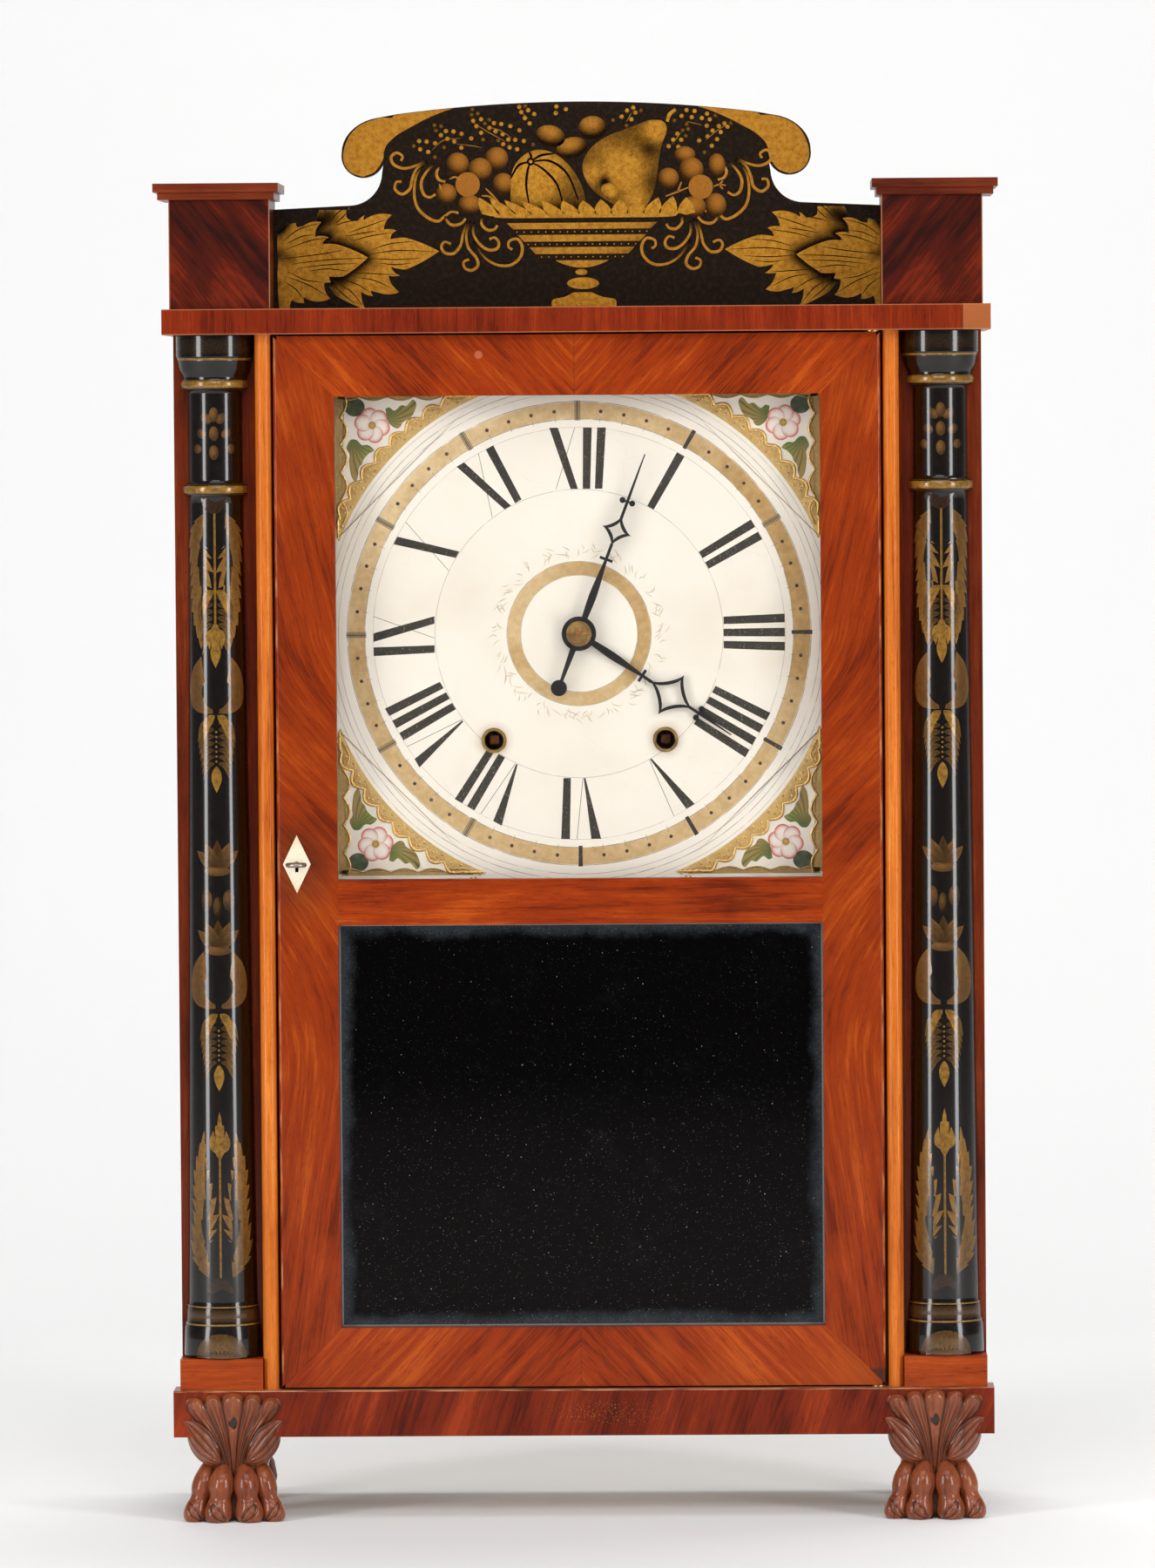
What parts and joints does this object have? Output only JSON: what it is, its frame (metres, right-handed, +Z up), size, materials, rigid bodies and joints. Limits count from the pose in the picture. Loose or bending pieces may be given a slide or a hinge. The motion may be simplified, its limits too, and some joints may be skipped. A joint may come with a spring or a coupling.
{
  "type": "shelf clock",
  "caption": "Weight-driven shelf clock with half columns, a scrolled splat, paw feet and a door with clear glass over a mirror",
  "frame": {"origin": "middle of the footprint on the surface the feet stand on", "axes": "+X to the clock's right as seen from the front, +Y from the front to the back, +Z up"},
  "size_m": [0.444, 0.14, 0.75],
  "materials": {
    "pine": "aged bare pine",
    "case_veneer": "shellacked mahogany",
    "cornice_veneer": "shellacked red mahogany",
    "rail_veneer": "shellacked dark mahogany",
    "edge_veneer": "shellacked bright mahogany",
    "plinth_veneer": "shellacked figured mahogany",
    "door_veneer": "shellacked mahogany",
    "black_lacquer": "black lacquer with gold stencil",
    "carved_wood": "shellacked carving",
    "clear_glass": "clear",
    "old_mirror": "foxed silvering",
    "bone": "polished bone",
    "iron": "dull",
    "steel": "worn",
    "brass": "aged",
    "painted_dial": "cream paint",
    "dark_steel": "black",
    "oak": "bare oak",
    "cherry": "bare cherry",
    "bell_metal": "cast bronze",
    "cast_iron": "rough casting",
    "cord": "linen cord"
  },
  "bodies": {
    "case": {"backboard": "pine", "side_boards": "case_veneer", "bottom_board": "pine", "cornice_board": "cornice_veneer", "base_rail": "rail_veneer", "pilaster_boards": "case_veneer", "columns": "black_lacquer", "column_blocks": "edge_veneer", "door_strips": "edge_veneer", "plinths": "plinth_veneer", "plinth_caps": "plinth_veneer", "splat": "black_lacquer", "paw_feet": "carved_wood", "rear_feet": "carved_wood", "foot_screws": "iron", "channel_dividers": "pine", "movement_rails": "pine", "door_pivots": "brass", "dial_board": "painted_dial", "winding_bushes": "brass", "front_plate": "oak", "back_plate": "oak", "plate_pillars": "oak", "bell": "bell_metal", "winding_cords": "cord", "time_weight_cord": "cord", "strike_weight_cord": "cord"},
    "door": {"door_stiles": "door_veneer", "door_rails": "door_veneer", "door_glass": "clear_glass", "door_mirror": "old_mirror", "mirror_backboard": "pine", "glazing_beads": "door_veneer", "escutcheon": "bone", "lock_case": "iron"},
    "lock_bolt": {"lock_bolt": "brass"},
    "key": {"key": "steel"},
    "minute_works": {"center_arbor": "cherry", "minute_hand": "dark_steel", "hand_pin": "brass"},
    "hour_works": {"hour_wheel": "cherry", "hour_hand": "dark_steel"},
    "motion_wheel": {"motion_wheel": "cherry"},
    "time_great_wheel": {"time_great_wheel": "cherry"},
    "time_drum": {"time_drum": "cherry"},
    "time_second_wheel": {"time_second_wheel": "cherry"},
    "time_third_wheel": {"time_third_wheel": "cherry"},
    "escape_wheel": {"escape_wheel": "brass"},
    "verge": {"verge": "brass"},
    "pendulum": {"pendulum": "brass"},
    "strike_great_wheel": {"strike_great_wheel": "cherry"},
    "strike_drum": {"strike_drum": "cherry"},
    "strike_pin_wheel": {"strike_pin_wheel": "cherry"},
    "strike_warning_wheel": {"strike_warning_wheel": "cherry"},
    "strike_fly": {"strike_fly": "cherry"},
    "strike_hammer": {"strike_hammer": "iron"},
    "time_weight": {"time_weight": "cast_iron"},
    "strike_weight": {"strike_weight": "cast_iron"},
    "time_pulley": {"time_pulley": "cherry"},
    "strike_pulley": {"strike_pulley": "cherry"}
  },
  "joints": [
    {"name": "door_swing", "type": "hinge", "parent": "case", "child": "door", "pos_m": [0.156, -0.052, 0.3485], "axis": [0, 0, 1], "range_deg": [0, 110]},
    {"name": "key_turn", "type": "hinge", "parent": "door", "child": "key", "pos_m": [-0.1495, -0.056, 0.348], "axis": [0, 1, 0], "range_deg": [0, 90]},
    {"name": "bolt_slide", "type": "slide", "parent": "door", "child": "lock_bolt", "axis": [-1, 0, 0], "range_m": [0, 0.005]},
    {"name": "minute_turn", "type": "hinge", "parent": "case", "child": "minute_works", "pos_m": [0, 0.019, 0.4683], "axis": [0, 1, 0], "continuous": true},
    {"name": "hour_turn", "type": "hinge", "parent": "case", "child": "hour_works", "pos_m": [0, -0.02, 0.4683], "axis": [0, 1, 0], "continuous": true},
    {"name": "motion_turn", "type": "hinge", "parent": "case", "child": "motion_wheel", "pos_m": [-0.02, -0.015, 0.4683], "axis": [0, 1, 0], "continuous": true},
    {"name": "time_second_turn", "type": "hinge", "parent": "case", "child": "time_second_wheel", "pos_m": [0.03788, 0.019, 0.45544], "axis": [0, 1, 0], "continuous": true},
    {"name": "time_great_turn", "type": "hinge", "parent": "case", "child": "time_great_wheel", "pos_m": [0.0455, 0.019, 0.4119], "axis": [0, 1, 0], "continuous": true},
    {"name": "time_third_turn", "type": "hinge", "parent": "case", "child": "time_third_wheel", "pos_m": [0.05196, 0.019, 0.48857], "axis": [0, 1, 0], "continuous": true},
    {"name": "escape_turn", "type": "hinge", "parent": "case", "child": "escape_wheel", "pos_m": [0.016, 0.019, 0.4903], "axis": [0, 1, 0], "continuous": true},
    {"name": "time_weight_rise", "type": "slide", "parent": "case", "child": "time_weight", "axis": [0, 0, 1], "range_m": [0, 0.37], "deforming": ["time_weight_cord"]},
    {"name": "time_drum_turn", "type": "hinge", "parent": "case", "child": "time_drum", "pos_m": [0.0455, 0.019, 0.4119], "axis": [0, 1, 0], "range_deg": [-905, 5]},
    {"name": "time_pulley_turn", "type": "hinge", "parent": "case", "child": "time_pulley", "pos_m": [0.17, 0.022, 0.634], "axis": [0, 1, 0], "range_deg": [-1935, 10]},
    {"name": "strike_weight_rise", "type": "slide", "parent": "case", "child": "strike_weight", "axis": [0, 0, 1], "range_m": [0, 0.37], "deforming": ["strike_weight_cord"]},
    {"name": "strike_drum_turn", "type": "hinge", "parent": "case", "child": "strike_drum", "pos_m": [-0.0455, 0.019, 0.4119], "axis": [0, 1, 0], "range_deg": [-5, 905]},
    {"name": "strike_pulley_turn", "type": "hinge", "parent": "case", "child": "strike_pulley", "pos_m": [-0.17, 0.022, 0.634], "axis": [0, 1, 0], "range_deg": [-10, 1935]},
    {"name": "pendulum_swing", "type": "hinge", "parent": "case", "child": "pendulum", "pos_m": [0.016, -0.016, 0.5163], "axis": [0, 1, 0], "range_deg": [-3, 3]},
    {"name": "verge_rock", "type": "hinge", "parent": "case", "child": "verge", "pos_m": [0.016, -0.0125, 0.5163], "axis": [0, 1, 0], "range_deg": [-3.5, 3.5]},
    {"name": "strike_pin_turn", "type": "hinge", "parent": "case", "child": "strike_pin_wheel", "pos_m": [-0.03798, 0.019, 0.45424], "axis": [0, 1, 0], "continuous": true},
    {"name": "strike_great_turn", "type": "hinge", "parent": "case", "child": "strike_great_wheel", "pos_m": [-0.0455, 0.019, 0.4119], "axis": [0, 1, 0], "continuous": true},
    {"name": "strike_warning_turn", "type": "hinge", "parent": "case", "child": "strike_warning_wheel", "pos_m": [-0.05189, 0.019, 0.48744], "axis": [0, 1, 0], "continuous": true},
    {"name": "fly_turn", "type": "hinge", "parent": "case", "child": "strike_fly", "pos_m": [-0.016, 0.019, 0.4903], "axis": [0, 1, 0], "continuous": true},
    {"name": "hammer_lift", "type": "hinge", "parent": "case", "child": "strike_hammer", "pos_m": [-0.0755, 0.035, 0.5183], "axis": [0, 1, 0], "range_deg": [0, 15], "stiffness_Nm_per_rad": 0.05, "springref_deg": -8.59}
  ],
  "couplings": [
    {"joint": "key_turn", "follows": "bolt_slide", "rad_per_m": 314.16},
    {"joint": "minute_turn", "follows": "time_third_turn", "ratio": 0.11111},
    {"joint": "hour_turn", "follows": "time_third_turn", "ratio": 0.0092593},
    {"joint": "motion_turn", "follows": "time_third_turn", "ratio": -0.037037},
    {"joint": "time_second_turn", "follows": "time_third_turn", "ratio": -0.11111},
    {"joint": "time_great_turn", "follows": "time_third_turn", "ratio": 0.0092593},
    {"joint": "escape_turn", "follows": "time_third_turn", "ratio": -9},
    {"joint": "time_drum_turn", "follows": "time_weight_rise", "rad_per_m": -42.373},
    {"joint": "time_pulley_turn", "follows": "time_weight_rise", "rad_per_m": -90.909},
    {"joint": "strike_drum_turn", "follows": "strike_weight_rise", "rad_per_m": 42.373},
    {"joint": "strike_pulley_turn", "follows": "strike_weight_rise", "rad_per_m": 90.909},
    {"joint": "verge_rock", "follows": "pendulum_swing", "ratio": 1},
    {"joint": "strike_great_turn", "follows": "strike_pin_turn", "ratio": -0.10256},
    {"joint": "strike_warning_turn", "follows": "strike_pin_turn", "ratio": -9},
    {"joint": "fly_turn", "follows": "strike_pin_turn", "ratio": 81}
  ]
}
